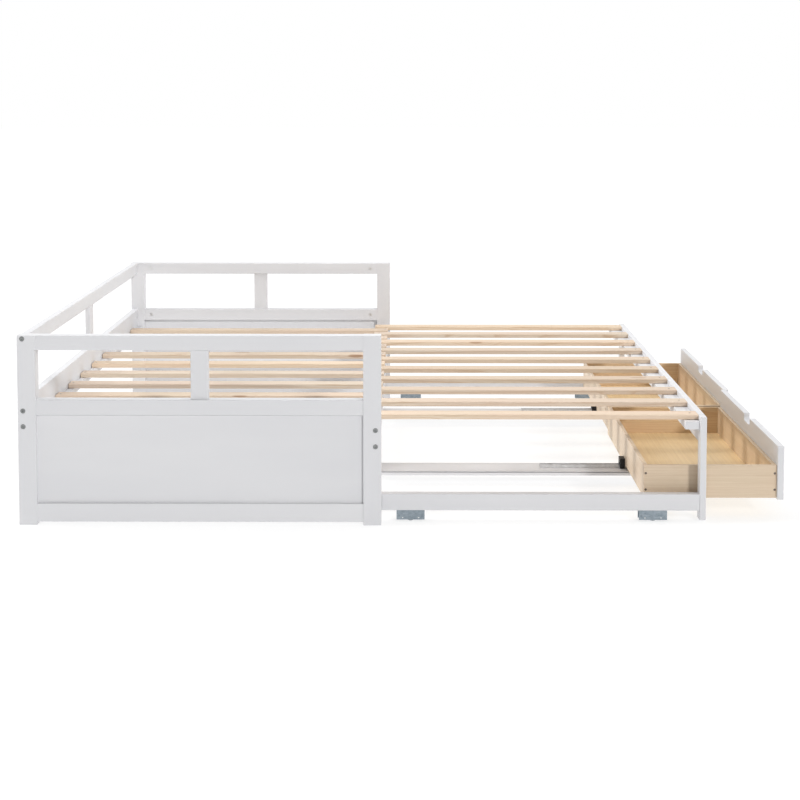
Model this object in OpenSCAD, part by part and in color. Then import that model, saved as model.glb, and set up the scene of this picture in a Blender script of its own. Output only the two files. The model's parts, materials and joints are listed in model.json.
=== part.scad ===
// Extending wooden daybed, open: a fixed bed with two end panels and a low back, a rolling
// pull-out frame whose slats slide between the fixed ones, and two drawers on centre slides.
// X runs from the back of the bed to the drawers, Y from the left end to the right end as
// seen from the front, and Z up. The origin is on the floor, in the middle of the bed's box.

/* [Fixed bed] */
// Length over the two end panels
bed_length = 2020; // [1900:5:2200]
// Depth of the end panels, from the back to their front posts
bed_depth = 1075; // [1000:5:1200]
// Height of the end panels
arm_height = 567; // [540:1:640]
// Width of a post, along the end panel
post_w = 53; // [45:1:60]
// Thickness of a post, along the bed
post_t = 44; // [40:1:50]
// Thickness of the end panels' rails
end_rail_t = 40; // [36:1:40]
// Height of the end panels' top rails
top_rail_h = 44; // [40:1:60]
// Height of the end panels' middle rails
mid_rail_h = 46; // [40:1:55]
// Height of the middle rails' top above the floor
mid_rail_top = 375; // [365:1:385]
// Height of the end panels' bottom rails
bottom_rail_h = 55; // [50:1:80]
// Gap between the bottom rails and the floor
bottom_rail_gap = 9; // [5:1:30]
// Thickness of the inset end panel
panel_t = 10; // [8:1:12]
// Depth of the inset panel behind the posts' outer faces
panel_recess = 10; // [8:1:20]

/* [Back and stretcher] */
// Thickness of the boards of the back and of the front stretcher
board_t = 22; // [20:1:26]
// Distance from the posts' outer faces to the back's boards
back_setback = 4; // [2:1:8]
// Height of the back's top rail
back_top_h = 45; // [40:1:60]
// Height of the back's low rail
back_low_h = 110; // [100:1:120]
// Width of the upright in the middle of the back
back_stile_w = 53; // [40:1:70]
// Thickness of the upright in the middle of the back
back_stile_t = 18; // [14:1:20]
// Height of the front stretcher
stretcher_h = 85; // [70:1:100]
// Side of the square ledger under the fixed slats
ledger_side = 20; // [18:1:30]

/* [Slats] */
// Height of the fixed slats' top above the floor
slat_top = 316; // [310:1:320]
// Width of a slat
slat_w = 62; // [50:1:66]
// Thickness of a slat
slat_t = 15; // [12:1:16]
// Number of slats on the pull-out frame; the fixed bed has one fewer
pull_slat_count = 10; // [8:1:10]
// Distance between neighbouring slats of one set
slat_pitch = 199.3; // [180:0.1:199.5]
// Gap under the pull-out slats where they slide over the stretcher
slat_lift = 0.7; // [0.5:0.1:1.5]
// Depth of the batten's relief under each fixed slat
batten_relief = 1.8; // [1.5:0.1:4]

/* [Pull-out frame] */
// Distance from the bed's back to the front of the open pull-out frame
pull_reach = 2046; // [2000:1:2100]
// Gap between the end panels' posts and the pull-out frame
pull_gap = 4; // [3:1:8]
// Thickness of the legs and the front rail, front to back
front_t = 20; // [18:1:24]
// Width of a front leg, along the bed
leg_w = 40; // [35:1:50]
// Gap between the legs and the floor
leg_gap = 4; // [2:1:8]
// Height of the front rail
front_rail_h = 80; // [60:1:90]
// Depth of the ledger behind the front rail
front_ledger_w = 43; // [30:1:50]
// Height of the ledger behind the front rail
front_ledger_h = 24; // [20:1:30]
// Thickness of the side rails and the rear cross rail
side_rail_t = 30; // [28:1:36]
// Height of the side rails and the rear cross rail
side_rail_h = 50; // [40:1:60]
// Height of the side rails' underside above the floor
side_rail_z = 33; // [33:1:36]
// Distance from the bed's back to the rear end of the side rails
side_rail_x = 1020; // [1000:1:1040]
// Width of a flat runner board under a drawer
runner_w = 120; // [90:1:150]
// Thickness of the runner boards and the front cross board
runner_t = 14; // [12:1:14]
// Width of the front cross board
cross_board_w = 60; // [50:1:80]

/* [Casters] */
// Radius of a caster wheel
wheel_r = 15; // [12:0.5:15]
// Width of a caster wheel
wheel_w = 16; // [12:1:18]
// Length of a caster bracket
bracket_l = 84; // [70:1:90]
// Width of a caster bracket
bracket_w = 28; // [24:1:28]
// Thickness of a caster bracket's steel
bracket_t = 1.8; // [1.5:0.1:2.5]
// Distance from the bed's back to the rear caster axles
caster_rear_x = 1162; // [1130:1:1200]
// Distance from the bed's back to the front caster axles
caster_front_x = 1888; // [1850:1:1920]
// Radius of a caster axle
axle_r = 3; // [2.5:0.5:3.5]

/* [Drawers] */
// How far the left drawer stands open
drawer_open = 241; // [200:1:260]
// How much further the right drawer stands open
right_extra = 10; // [0:1:20]
// Thickness of a drawer front
drawer_front_t = 20; // [18:1:22]
// Height of a drawer front
drawer_front_h = 164; // [150:1:170]
// Height of a drawer front's lower edge above the floor
drawer_front_z = 56; // [50:1:60]
// Gap between the legs and the drawer fronts, and between the two fronts' halves
drawer_gap = 2; // [2:1:6]
// Thickness of the drawer box's boards
box_t = 12; // [10:1:15]
// Height of the drawer box
box_h = 100; // [80:1:110]
// Height of the drawer box's lower edge above the floor
box_z = 60; // [60:1:62]
// Depth of the drawer box, front to back
box_depth = 401; // [360:1:420]
// How much narrower than its front the box is at each side
box_inset = 8; // [6:1:15]
// Length of the finger notch in a drawer front
notch_l = 92; // [70:1:110]
// Depth of the finger notch
notch_h = 23; // [15:1:28]
// Width of the steel slide bar
bar_w = 22; // [18:1:26]
// Height of the steel slide bar
bar_h = 11; // [9:1:12]
// Distance from the bed's back to the slide bar's rear end
bar_x = 1588; // [1560:1:1600]

/* [Hidden] */

LEFT = 0;
RIGHT = 1;
WHITE = "whitesmoke";
PINE = "burlywood";
PLY = "wheat";
STEEL = "lightslategray";
DARK = "dimgray";

// Origin: the middle of the open bed's box
open_depth = pull_reach + drawer_open + right_extra;
origin_x = open_depth / 2;
origin_y = bed_length / 2;

// End panels
post_in = bed_depth - post_w;
rail_setback = (post_t - end_rail_t) / 2;
stile_t = 24;
window_h = arm_height - top_rail_h - mid_rail_top;
mid_rail_z = mid_rail_top - mid_rail_h;
panel_z = bottom_rail_gap + bottom_rail_h;
tongue = 8;

// Slats and what carries them
slat_z = slat_top - slat_t;
pull_slat_z = slat_z + slat_lift;
pull_top = pull_slat_z + slat_t;
fixed_slat_count = pull_slat_count - 1;
pull_slat_y = [for (i = [0 : pull_slat_count - 1])
    origin_y + (i - (pull_slat_count - 1) / 2) * slat_pitch];
fixed_slat_y = [for (i = [0 : fixed_slat_count - 1])
    origin_y + (i - (fixed_slat_count - 1) / 2) * slat_pitch];
back_in = back_setback + board_t;
stretcher_setback = 6;
stretcher_front = bed_depth - stretcher_setback;
stretcher_back = stretcher_front - board_t;
slat_end_gap = 2;
slat_round = 3;

// Pull-out frame
pull_y = [post_t + pull_gap, bed_length - post_t - pull_gap];
pull_in = pull_reach - front_t;
cross_l = pull_y[1] - pull_y[0] - 2 * side_rail_t;
batten_t = 22;
batten_h = 30;
batten_clearance = 1;
batten_x = stretcher_back - batten_clearance - batten_t;
batten_gap = 8;
slat_overhang = 8;
pull_slat_x = batten_x - slat_overhang;
relief_margin = 8;
relief_w = slat_w + 2 * relief_margin;

// Casters
caster_x = [caster_rear_x, caster_front_x];
caster_y = [pull_y[0] + side_rail_t / 2, pull_y[1] - side_rail_t / 2];
bracket_top = side_rail_z;
bracket_z = 5;
axle_clearance = 0.05;
tread_round = 2;
rivet_r = 2.2;
// Places of the bracket's rivet holes: distance from the axle and height above the floor
rivet_places = [[34, 17], [24, 11]];

// Drawers
drawer_y = [pull_y[0] + leg_w + drawer_gap, origin_y + drawer_gap];
drawer_w = origin_y - drawer_gap - drawer_y[0];
drawer_x = [pull_reach + drawer_open, pull_reach + drawer_open + right_extra];
box_w = drawer_w - 2 * box_inset;
bottom_t = 6;
bottom_lift = 2;
runner_z = side_rail_z;
bar_z = runner_z + runner_t;
bar_wall = 1.6;
guide_l = 16;
guide_w = 44;
guide_h = 32;
guide_gap = 0.5;
guide_lift = 1;
bar_front_gap = 6;
notch_r = 12;
// Slot along each long edge of a runner, under a thin lip
runner_lip = 2;
runner_slot_h = 2;
runner_slot_d = 8;
runner_l = pull_in - cross_board_w - side_rail_x - side_rail_t;

// Fasteners
bolt_r = 4;
bolt_hole_r = 4.3;
bolt_head_r = 7;
bolt_head_h = 5;
bolt_head_hole_r = 7.5;
bolt_head_hole_h = 5.5;
bolt_l = 84;
bolt_hole_l = 92;
nut_r = 6;
nut_hole_r = 6.1;
nut_l = 16;
nut_y = 74;
socket_r = 3.2;
socket_h = 3;
cam_r = 6;
cam_hole_r = 6.1;
cam_h = 12;
cam_offset = 28;
cam_recess = 0.4;
cam_slot_l = 8.4;
cam_slot_w = 1.6;
cam_slot_d = 2;
screw_head_r = 3.5;
screw_r = 1.9;
screw_head_h = 3;
screw_gap = 0.05;
screw_recess = 0.3;
screw_slot_l = 4;
screw_slot_w = 0.8;
screw_slot_d = 1;
screw_inset = 12;
slat_screw_l = 26;
box_screw_l = 30;
ledger_screw_l = 54;
ledger_screw_gap = 44;
// Heights of the screws above the drawer box's lower edge
box_screw_z = [25, 75];
board_x = back_setback + board_t / 2;
stretcher_x = stretcher_back + board_t / 2;
// Bolts through each back post, one into the top rail and two into the low rail, from the top
back_bolt_down = [10, 225, 272];
back_bolt_z = [for (down = back_bolt_down) arm_height - down];
// Bolts through each front post into the stretcher, down from its top
front_bolt_down = [16, 65];
front_bolt_z = [for (down = front_bolt_down) slat_z - down];

// Puts children given in bed coordinates, from the back and the left end, in the part's frame
module in_bed() translate([-origin_x, -origin_y, 0]) children();

// Puts children drawn for the left end at either end
module at_end(side) {
    if (side == LEFT) children();
    else translate([0, bed_length, 0]) mirror([0, 1, 0]) children();
}

// A board from corner p with size s
module board(p, s) translate(p) cube(s);

// A board lying along X whose four long edges are rounded by r
module eased_board(p, s, r) {
    translate([p[0], p[1] + s[1] / 2, p[2] + s[2] / 2]) rotate([90, 0, 90])
    linear_extrude(s[0]) union() {
        square([s[1] - 2 * r, s[2]], center = true);
        square([s[1], s[2] - 2 * r], center = true);
        for (i = [-1, 1], j = [-1, 1])
            translate([i * (s[1] / 2 - r), j * (s[2] / 2 - r)]) circle(r, $fn = 32);
    }
}

// Hole for a bolt along Y from the end panel's outer face, at x and z
module bolt_hole(x, z) {
    translate([x, 0, z]) rotate([-90, 0, 0]) {
        translate([0, 0, -1]) cylinder(r = bolt_head_hole_r, h = bolt_head_hole_h + 1, $fn = 48);
        cylinder(r = bolt_hole_r, h = bolt_hole_l, $fn = 48);
    }
}

// Hole for the barrel nut of that bolt, right through the board
module nut_hole(x, z) {
    translate([x - board_t / 2 - 1, nut_y, z]) rotate([0, 90, 0])
        cylinder(r = nut_hole_r, h = board_t + 2, $fn = 48);
}

// Bolt with a socket head, and its barrel nut
module bolt(x, z) {
    translate([x, 0, z]) rotate([-90, 0, 0]) translate([0, 0, bolt_head_hole_h - bolt_head_h])
    difference() {
        union() {
            cylinder(r = bolt_head_r, h = bolt_head_h, $fn = 48);
            cylinder(r = bolt_r, h = bolt_l, $fn = 48);
        }
        translate([0, 0, -1]) cylinder(r = socket_r, h = socket_h + 1, $fn = 6);
    }
    difference() {
        translate([x - nut_l / 2, nut_y, z]) rotate([0, 90, 0])
            cylinder(r = nut_r, h = nut_l, $fn = 48);
        translate([x, nut_y - nut_r - 1, z]) rotate([-90, 0, 0])
            cylinder(r = bolt_hole_r, h = 2 * nut_r + 2, $fn = 48);
    }
}

// Pocket for a cam in an end rail's inner face
module cam_pocket(x, z) {
    translate([x, post_t - rail_setback - cam_h, z]) rotate([-90, 0, 0])
        cylinder(r = cam_hole_r, h = cam_h + 1, $fn = 48);
}

// Cam with a cross slot, set just under the rail's face
module cam(x, z) {
    translate([x, post_t - rail_setback - cam_h, z]) rotate([-90, 0, 0]) difference() {
        cylinder(r = cam_r, h = cam_h - cam_recess, $fn = 48);
        for (a = [45, 135]) rotate(a)
            translate([-cam_slot_l / 2, -cam_slot_w / 2, cam_h - cam_recess - cam_slot_d])
                cube([cam_slot_l, cam_slot_w, cam_slot_d + 1]);
    }
}

// Countersunk wood screw pointing down, its head's top at z = 0
module screw(l) {
    rotate([180, 0, 0]) difference() {
        union() {
            cylinder(r1 = screw_head_r, r2 = screw_r, h = screw_head_h, $fn = 32);
            cylinder(r = screw_r, h = l, $fn = 32);
        }
        for (a = [0, 90]) rotate(a) translate([-screw_slot_l / 2, -screw_slot_w / 2, -1])
            cube([screw_slot_l, screw_slot_w, screw_slot_d + 1]);
    }
}

// Hole for that screw, with its countersink, a little wider all round
module screw_hole(l) {
    rotate([180, 0, 0]) {
        cylinder(r1 = screw_head_r + screw_gap, r2 = screw_r + screw_gap, h = screw_head_h, $fn = 32);
        translate([0, 0, -1]) cylinder(r = screw_head_r + screw_gap, h = 1, $fn = 32);
        cylinder(r = screw_r + screw_gap, h = l, $fn = 32);
    }
}

// ---- End panels ----

module back_post(side) color(WHITE) in_bed() at_end(side) difference() {
    board([0, 0, 0], [post_w, post_t, arm_height]);
    for (z = back_bolt_z) bolt_hole(board_x, z);
}

module front_post(side) color(WHITE) in_bed() at_end(side) difference() {
    board([post_in, 0, 0], [post_w, post_t, arm_height]);
    for (z = front_bolt_z) bolt_hole(stretcher_x, z);
}

// Distances from the back to the cams near a rail's two ends
cam_x = [post_w + cam_offset, post_in - cam_offset];

module top_rail(side) color(WHITE) in_bed() at_end(side) difference() {
    board([post_w, rail_setback, arm_height - top_rail_h],
          [post_in - post_w, end_rail_t, top_rail_h]);
    for (x = cam_x) cam_pocket(x, arm_height - top_rail_h / 2);
}

// The middle rail and the bottom rail hold the inset panel in a groove
module mid_rail(side) color(WHITE) in_bed() at_end(side) difference() {
    board([post_w, rail_setback, mid_rail_z], [post_in - post_w, end_rail_t, mid_rail_h]);
    for (x = cam_x) cam_pocket(x, mid_rail_z + mid_rail_h / 2);
    board([post_w - 1, panel_recess, mid_rail_z - 1], [post_in - post_w + 2, panel_t, tongue + 1]);
}

module bottom_rail(side) color(WHITE) in_bed() at_end(side) difference() {
    board([post_w, rail_setback, bottom_rail_gap], [post_in - post_w, end_rail_t, bottom_rail_h]);
    board([post_w - 1, panel_recess, panel_z - tongue], [post_in - post_w + 2, panel_t, tongue + 1]);
}

module end_panel(side) color(WHITE) in_bed() at_end(side)
    board([post_w, panel_recess, panel_z - tongue],
          [post_in - post_w, panel_t, mid_rail_z - panel_z + 2 * tongue]);

module window_stile(side) color(WHITE) in_bed() at_end(side)
    board([(bed_depth - post_w) / 2, (post_t - stile_t) / 2, mid_rail_top],
          [post_w, stile_t, window_h]);

// ---- Back and stretcher ----

// A board between the end panels, bolted at both ends
module bolted_board(x, z, h, bolts) difference() {
    board([x - board_t / 2, post_t, z], [board_t, bed_length - 2 * post_t, h]);
    for (side = [LEFT, RIGHT], b = bolts) at_end(side) {
        bolt_hole(x, b);
        nut_hole(x, b);
    }
}

module back_top_rail() color(WHITE) in_bed()
    bolted_board(board_x, arm_height - back_top_h, back_top_h, [back_bolt_z[0]]);

module back_low_rail() color(WHITE) in_bed()
    bolted_board(board_x, mid_rail_top - back_low_h, back_low_h,
                 [back_bolt_z[1], back_bolt_z[2]]);

module back_stile() color(WHITE) in_bed()
    board([board_x - back_stile_t / 2, origin_y - back_stile_w / 2, mid_rail_top],
          [back_stile_t, back_stile_w, arm_height - back_top_h - mid_rail_top]);

module back_ledger() color(WHITE) in_bed() difference() {
    board([back_in, post_t + batten_gap, slat_z - ledger_side],
          [ledger_side, bed_length - 2 * post_t - 2 * batten_gap, ledger_side]);
    fixed_screw_places() screw_hole(slat_screw_l + 1);
}

module front_stretcher() color(WHITE) in_bed() difference() {
    bolted_board(stretcher_x, slat_z - stretcher_h, stretcher_h, front_bolt_z);
    fixed_screw_places() screw_hole(slat_screw_l + 1);
}

// ---- Fixed slats ----

// Puts children at the top of each screw that holds a fixed slat
module fixed_screw_places() for (y = fixed_slat_y, x = [back_in + screw_inset, stretcher_x])
    translate([x, y, slat_top - screw_recess]) children();

module fixed_slats() color(PINE) in_bed() difference() {
    for (y = fixed_slat_y)
        eased_board([back_in + slat_end_gap, y - slat_w / 2, slat_z],
                    [stretcher_front - back_in - slat_end_gap, slat_w, slat_t], slat_round);
    fixed_screw_places() screw_hole(slat_screw_l + 1);
}

module fixed_slat_screws() color(STEEL) in_bed() fixed_screw_places() screw(slat_screw_l);

module frame_bolts() color(DARK) in_bed() for (side = [LEFT, RIGHT]) at_end(side) {
    for (z = back_bolt_z) bolt(board_x, z);
    for (z = front_bolt_z) bolt(stretcher_x, z);
}

module rail_cams() color(STEEL) in_bed() for (side = [LEFT, RIGHT]) at_end(side)
    for (x = cam_x, z = [arm_height - top_rail_h / 2, mid_rail_z + mid_rail_h / 2]) cam(x, z);

// ---- Pull-out frame ----

module leg(side) color(WHITE) in_bed() at_end(side)
    board([pull_in, pull_y[0], leg_gap], [front_t, leg_w, pull_top - leg_gap]);

module front_rail() color(WHITE) in_bed() difference() {
    board([pull_in, pull_y[0] + leg_w, pull_top - front_rail_h],
          [front_t, pull_y[1] - pull_y[0] - 2 * leg_w, front_rail_h]);
    ledger_screw_places() screw_hole(ledger_screw_l + 1);
}

module front_ledger() color(WHITE) in_bed() difference() {
    board([pull_in - front_ledger_w, pull_y[0] + batten_gap, pull_slat_z - front_ledger_h],
          [front_ledger_w, pull_y[1] - pull_y[0] - 2 * batten_gap, front_ledger_h]);
    pull_screw_places() screw_hole(slat_screw_l + 1);
    ledger_screw_places() screw_hole(ledger_screw_l + 1);
}

module side_rail(side) color(WHITE) in_bed() at_end(side)
    board([side_rail_x, pull_y[0], side_rail_z],
          [pull_in - side_rail_x, side_rail_t, side_rail_h]);

module rear_cross_rail() color(WHITE) in_bed()
    board([side_rail_x, pull_y[0] + side_rail_t, side_rail_z],
          [side_rail_t, cross_l, side_rail_h]);

module front_cross_board() color(WHITE) in_bed()
    board([pull_in - cross_board_w, pull_y[0] + side_rail_t, runner_z],
          [cross_board_w, cross_l, runner_t]);

// The batten under the pull-out slats' rear ends, relieved where it passes the fixed slats
module slat_batten() color(PINE) in_bed() difference() {
    board([batten_x, post_t + batten_gap, pull_slat_z - batten_h],
          [batten_t, bed_length - 2 * post_t - 2 * batten_gap, batten_h]);
    for (y = fixed_slat_y)
        board([batten_x - 1, y - relief_w / 2, pull_slat_z - batten_relief],
              [batten_t + 2, relief_w, batten_relief + 1]);
    pull_screw_places() screw_hole(slat_screw_l + 1);
}

// A flat board with a slot under a thin lip along both its long edges
module runner(side) color(WHITE) in_bed()
    translate([side_rail_x + side_rail_t, drawer_y[side] + (drawer_w - runner_w) / 2, runner_z])
    difference() {
        cube([runner_l, runner_w, runner_t]);
        for (y = [-1, runner_w - runner_slot_d])
            translate([-1, y, runner_t - runner_lip - runner_slot_h])
                cube([runner_l + 2, runner_slot_d + 1, runner_slot_h]);
    }

// Steel channel, open at the top, that the drawer's guide straddles
module slide_bar(side) color(STEEL) in_bed()
    translate([bar_x, drawer_y[side] + (drawer_w - bar_w) / 2, bar_z]) difference() {
        cube([pull_in - bar_front_gap - bar_x, bar_w, bar_h]);
        translate([-1, bar_wall, bar_wall])
            cube([pull_in - bar_x, bar_w - 2 * bar_wall, bar_h]);
    }

// Puts children at the top of each screw that holds a pull-out slat
module pull_screw_places()
    for (y = pull_slat_y, x = [batten_x + batten_t / 2, pull_in - front_ledger_w / 2])
        translate([x, y, pull_top - screw_recess]) children();

// Puts children at the head of each screw through the front ledger into the front rail,
// a pair in every gap between the slats
module ledger_screw_places() for (y = fixed_slat_y, side = [-1, 1])
    translate([pull_in - front_ledger_w + screw_recess, y + side * ledger_screw_gap / 2,
               pull_slat_z - front_ledger_h / 2]) rotate([0, -90, 0]) children();

module pull_out_slats() color(PINE) in_bed() difference() {
    for (y = pull_slat_y)
        eased_board([pull_slat_x, y - slat_w / 2, pull_slat_z],
                    [pull_in - pull_slat_x, slat_w, slat_t], slat_round);
    pull_screw_places() screw_hole(slat_screw_l + 1);
}

module pull_out_screws() color(STEEL) in_bed() {
    pull_screw_places() screw(slat_screw_l);
    ledger_screw_places() screw(ledger_screw_l);
}

// ---- Casters ----

// Steel channel screwed under a side rail, with the axle's holes through both its sides
module caster_bracket(x, y) difference() {
    translate([x - bracket_l / 2, y - bracket_w / 2, bracket_z])
        cube([bracket_l, bracket_w, bracket_top - bracket_z]);
    translate([x - bracket_l / 2 - 1, y - bracket_w / 2 + bracket_t, bracket_z - 1])
        cube([bracket_l + 2, bracket_w - 2 * bracket_t, bracket_top - bracket_z + 1 - bracket_t]);
    translate([x, y - bracket_w / 2 - 1, wheel_r]) rotate([-90, 0, 0])
        cylinder(r = axle_r, h = bracket_w + 2, $fn = 32);
    for (i = [-1, 1], j = rivet_places)
        translate([x + i * j[0], y - bracket_w / 2 - 1, j[1]]) rotate([-90, 0, 0])
            cylinder(r = rivet_r, h = bracket_w + 2, $fn = 32);
}

module caster_brackets() color(STEEL) in_bed()
    for (x = caster_x, y = caster_y) caster_bracket(x, y);

module caster_axles() color(STEEL) in_bed() for (x = caster_x, y = caster_y)
    translate([x, y, wheel_r]) rotate([-90, 0, 0])
        cylinder(r = axle_r, h = bracket_w + 1, center = true, $fn = 32);

module wheel(x, y) color(DARK) in_bed() translate([x, y, wheel_r]) rotate([-90, 0, 0])
    rotate_extrude($fn = 64) difference() {
        union() {
            translate([axle_r + axle_clearance, -wheel_w / 2])
                square([wheel_r - tread_round - axle_r - axle_clearance, wheel_w]);
            translate([0, -wheel_w / 2 + tread_round])
                square([wheel_r, wheel_w - 2 * tread_round]);
            for (s = [-1, 1]) translate([wheel_r - tread_round, s * (wheel_w / 2 - tread_round)])
                circle(tread_round, $fn = 32);
        }
        translate([-1, -wheel_w]) square([axle_r + axle_clearance + 1, 2 * wheel_w]);
    }

// ---- Drawers ----

// Puts children drawn from the drawer front's outer face and its left edge in place
module in_drawer(side) in_bed() translate([drawer_x[side], drawer_y[side], 0]) children();

// Front board with a rounded finger notch in the middle of its top edge
module drawer_front(side) color(WHITE) in_drawer(side) difference() {
    board([-drawer_front_t, 0, drawer_front_z], [drawer_front_t, drawer_w, drawer_front_h]);
    translate([1, drawer_w / 2, drawer_front_z + drawer_front_h]) rotate([90, 0, -90])
    linear_extrude(drawer_front_t + 2) union() {
        translate([-notch_l / 2, -notch_h + notch_r]) square([notch_l, notch_h]);
        translate([-notch_l / 2 + notch_r, -notch_h]) square([notch_l - 2 * notch_r, notch_h]);
        for (s = [-1, 1]) translate([s * (notch_l / 2 - notch_r), -notch_h + notch_r])
            circle(notch_r, $fn = 48);
    }
}

// Puts children at the head of each screw through the box's sides into its cross boards
module box_screw_places()
    for (x = [-drawer_front_t - box_t / 2, -drawer_front_t - box_depth + box_t / 2],
         z = box_screw_z) {
        translate([x, box_inset + screw_recess, box_z + z]) rotate([90, 0, 0]) children();
        translate([x, drawer_w - box_inset - screw_recess, box_z + z]) rotate([-90, 0, 0])
            children();
    }

module drawer_side(side, far) color(PINE) in_drawer(side) difference() {
    board([-drawer_front_t - box_depth, far ? drawer_w - box_inset - box_t : box_inset, box_z],
          [box_depth, box_t, box_h]);
    box_screw_places() screw_hole(box_screw_l + 1);
}

// A cross board of the box, at x from the drawer front's outer face
module drawer_cross(side, x) color(PINE) in_drawer(side) difference() {
    board([x, box_inset + box_t, box_z], [box_t, box_w - 2 * box_t, box_h]);
    box_screw_places() screw_hole(box_screw_l + 1);
}

module drawer_subfront(side) drawer_cross(side, -drawer_front_t - box_t);

module drawer_back(side) drawer_cross(side, -drawer_front_t - box_depth);

module drawer_bottom(side) color(PLY) in_drawer(side)
    board([-drawer_front_t - box_depth + box_t, box_inset + box_t, box_z + bottom_lift],
          [box_depth - 2 * box_t, box_w - 2 * box_t, bottom_t]);

// Plastic guide on the drawer's back that straddles the slide bar
module drawer_guide(side) color(DARK) in_drawer(side) difference() {
    board([-drawer_front_t - box_depth - guide_l, (drawer_w - guide_w) / 2, bar_z + guide_lift],
          [guide_l, guide_w, guide_h]);
    board([-drawer_front_t - box_depth - guide_l - 1, (drawer_w - bar_w) / 2 - guide_gap, bar_z],
          [guide_l + 2, bar_w + 2 * guide_gap, bar_h + guide_gap]);
}

module drawer_screws(side) color(DARK) in_drawer(side) box_screw_places() screw(box_screw_l);

back_post(LEFT);  // left_back_post
front_post(LEFT);  // left_front_post
top_rail(LEFT);  // left_top_rail
window_stile(LEFT);  // left_window_stile
mid_rail(LEFT);  // left_mid_rail
end_panel(LEFT);  // left_panel
bottom_rail(LEFT);  // left_bottom_rail
back_post(RIGHT);  // right_back_post
front_post(RIGHT);  // right_front_post
top_rail(RIGHT);  // right_top_rail
window_stile(RIGHT);  // right_window_stile
mid_rail(RIGHT);  // right_mid_rail
end_panel(RIGHT);  // right_panel
bottom_rail(RIGHT);  // right_bottom_rail
back_top_rail();
back_low_rail();
back_stile();
back_ledger();
front_stretcher();
fixed_slats();
fixed_slat_screws();
frame_bolts();
rail_cams();
leg(LEFT);  // left_leg
leg(RIGHT);  // right_leg
front_rail();
front_ledger();
side_rail(LEFT);  // left_side_rail
side_rail(RIGHT);  // right_side_rail
rear_cross_rail();
front_cross_board();
slat_batten();
runner(LEFT);  // left_runner
runner(RIGHT);  // right_runner
slide_bar(LEFT);  // left_slide_bar
slide_bar(RIGHT);  // right_slide_bar
pull_out_slats();
pull_out_screws();
caster_brackets();
caster_axles();
wheel(caster_x[0], caster_y[0]);  // wheel_left_rear
wheel(caster_x[1], caster_y[0]);  // wheel_left_front
wheel(caster_x[0], caster_y[1]);  // wheel_right_rear
wheel(caster_x[1], caster_y[1]);  // wheel_right_front
drawer_front(LEFT);  // left_drawer_front
drawer_subfront(LEFT);  // left_drawer_subfront
drawer_back(LEFT);  // left_drawer_back
drawer_side(LEFT, false);  // left_drawer_left_side
drawer_side(LEFT, true);  // left_drawer_right_side
drawer_bottom(LEFT);  // left_drawer_bottom
drawer_guide(LEFT);  // left_drawer_guide
drawer_screws(LEFT);  // left_drawer_screws
drawer_front(RIGHT);  // right_drawer_front
drawer_subfront(RIGHT);  // right_drawer_subfront
drawer_back(RIGHT);  // right_drawer_back
drawer_side(RIGHT, false);  // right_drawer_left_side
drawer_side(RIGHT, true);  // right_drawer_right_side
drawer_bottom(RIGHT);  // right_drawer_bottom
drawer_guide(RIGHT);  // right_drawer_guide
drawer_screws(RIGHT);  // right_drawer_screws
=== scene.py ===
"""Looks of an extending wooden daybed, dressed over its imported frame.

The fixed bed has two end panels, a low back and nine slats. A pull-out frame on casters carries ten
more slats and two drawers. Each board is a piece of its own, with eased arrises and its own stretch
of grain, and is painted, sealed or left as it came from the planer.
"""
import json
import logging
import math
import random
import zlib
from dataclasses import dataclass, field
from enum import Enum
from typing import Protocol

import bmesh
import bpy
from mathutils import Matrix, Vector

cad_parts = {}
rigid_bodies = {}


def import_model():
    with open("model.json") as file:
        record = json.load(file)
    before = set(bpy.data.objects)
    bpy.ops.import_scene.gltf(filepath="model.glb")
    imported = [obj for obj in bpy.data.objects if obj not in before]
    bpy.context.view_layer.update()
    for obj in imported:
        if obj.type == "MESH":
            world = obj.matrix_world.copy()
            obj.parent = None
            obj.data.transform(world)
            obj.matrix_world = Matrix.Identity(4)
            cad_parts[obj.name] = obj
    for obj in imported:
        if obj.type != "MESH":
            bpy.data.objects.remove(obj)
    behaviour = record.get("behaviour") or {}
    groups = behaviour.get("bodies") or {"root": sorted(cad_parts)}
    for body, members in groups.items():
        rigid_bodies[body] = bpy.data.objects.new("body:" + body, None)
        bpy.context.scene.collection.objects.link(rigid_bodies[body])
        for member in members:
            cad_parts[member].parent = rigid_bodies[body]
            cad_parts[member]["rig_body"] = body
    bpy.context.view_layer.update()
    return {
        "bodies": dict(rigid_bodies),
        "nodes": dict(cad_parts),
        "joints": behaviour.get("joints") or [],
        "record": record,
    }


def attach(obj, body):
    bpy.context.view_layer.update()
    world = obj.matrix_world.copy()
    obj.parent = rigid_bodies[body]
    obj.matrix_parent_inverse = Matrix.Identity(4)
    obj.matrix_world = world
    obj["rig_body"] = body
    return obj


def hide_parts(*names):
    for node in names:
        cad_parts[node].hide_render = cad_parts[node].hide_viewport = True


LOG = logging.getLogger("daybed")

Triple = tuple[float, float, float]
Pair = tuple[float, float]
Socket = bpy.types.NodeSocket

# Sockets of Blender's colour mixer: the share, the two colours and the result.
MIX_SHARE, MIX_FIRST, MIX_SECOND, MIX_RESULT = 0, 6, 7, 2
# Where most of a cloudy value lies.
CLOUDY: Pair = (0.3, 0.7)
# Growth rings change this slowly along a board, next to across it.
DRAWN_OUT: Triple = (0.05, 1.0, 1.0)
# At a scale of 1 the ring pattern repeats at this distance.
RING_REPEAT = 0.314
WHITE: Triple = (1.0, 1.0, 1.0)
# For pieces whose edges stay as they were turned, stamped or sawn.
NOT_EASED = 0.0
# Places along, across and up the bed are told apart to the millimetre.
PLACE_DIGITS = 3
# Two directions with a larger cosine than this are one direction.
SAME_WAY = 0.99


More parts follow.
